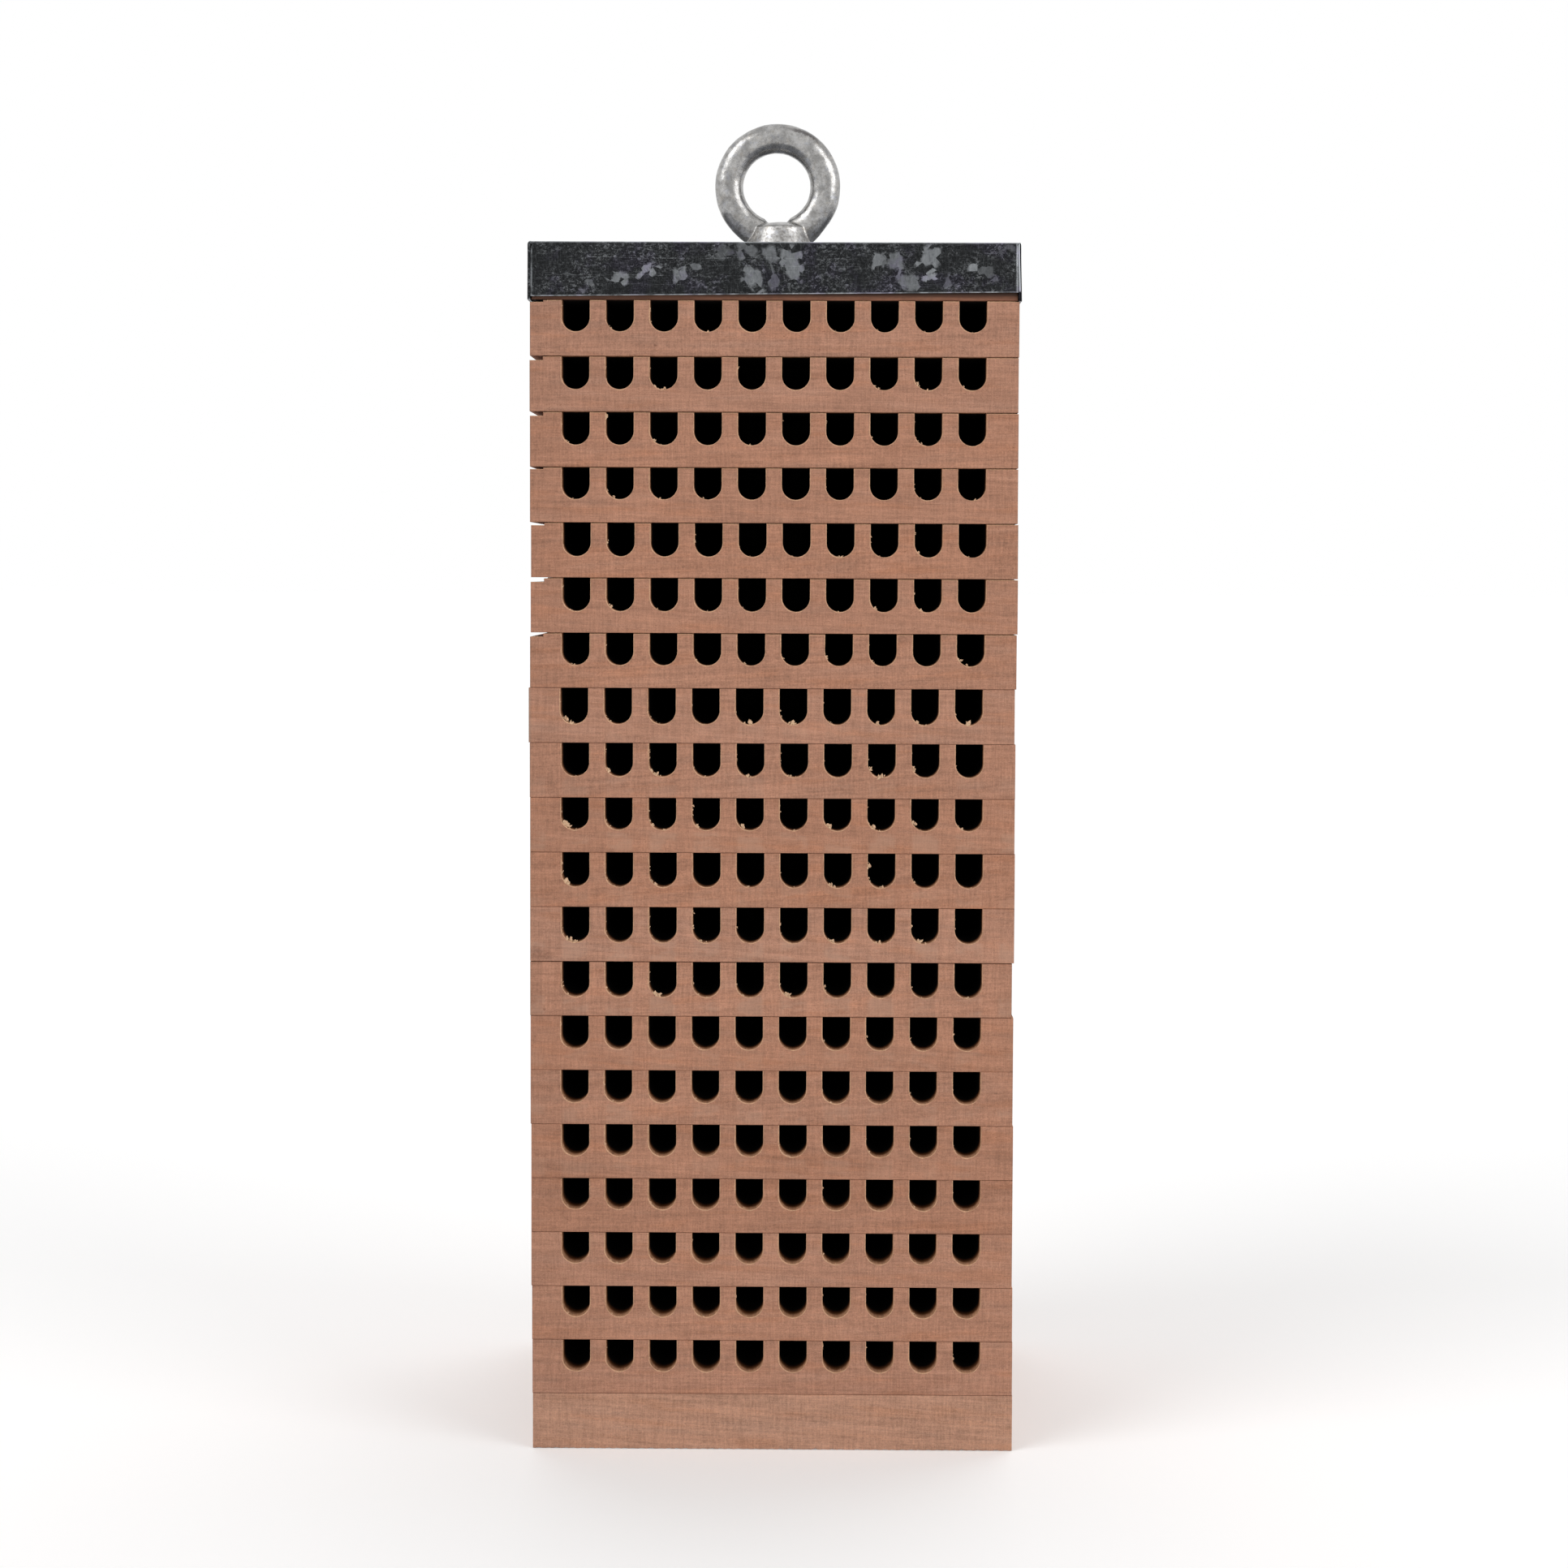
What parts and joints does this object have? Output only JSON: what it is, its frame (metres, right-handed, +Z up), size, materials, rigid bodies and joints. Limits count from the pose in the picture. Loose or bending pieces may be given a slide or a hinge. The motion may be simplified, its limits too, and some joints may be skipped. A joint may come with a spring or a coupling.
{
  "type": "bee hotel",
  "caption": "Hanging nest block for solitary bees: a stack of wooden trays with milled tunnels under a folded zinc cap, clamped by a rod that ends in a ring nut.",
  "frame": {"origin": "middle of the footprint, on the plane that the base board rests on", "axes": "+Z up along the rod to the eye nut, -Y towards the tunnel mouths, +X to the right seen from the front"},
  "size_m": [0.141, 0.141, 0.3915],
  "materials": {
    "tray_wood": "bare planed hardwood, end grain with fine flecks",
    "board_wood": "bare planed hardwood with faint grain",
    "zinc_sheet": "hot dip galvanised sheet, dark spangle with scratches",
    "forged_zinc": "forged and zinc plated, slightly rough",
    "plated_steel": "zinc plated"
  },
  "bodies": {
    "root": {"eye_nut": "forged_zinc", "top_washer": "plated_steel", "cap": "zinc_sheet", "cover_board": "board_wood", "tray_01": "tray_wood", "tray_02": "tray_wood", "tray_03": "tray_wood", "tray_04": "tray_wood", "tray_05": "tray_wood", "tray_06": "tray_wood", "tray_07": "tray_wood", "tray_08": "tray_wood", "tray_09": "tray_wood", "tray_10": "tray_wood", "tray_11": "tray_wood", "tray_12": "tray_wood", "tray_13": "tray_wood", "tray_14": "tray_wood", "tray_15": "tray_wood", "tray_16": "tray_wood", "tray_17": "tray_wood", "tray_18": "tray_wood", "tray_19": "tray_wood", "tray_20": "tray_wood", "base_board": "board_wood", "threaded_rod": "plated_steel", "base_washer": "plated_steel", "base_nut": "plated_steel"}
  },
  "joints": []
}
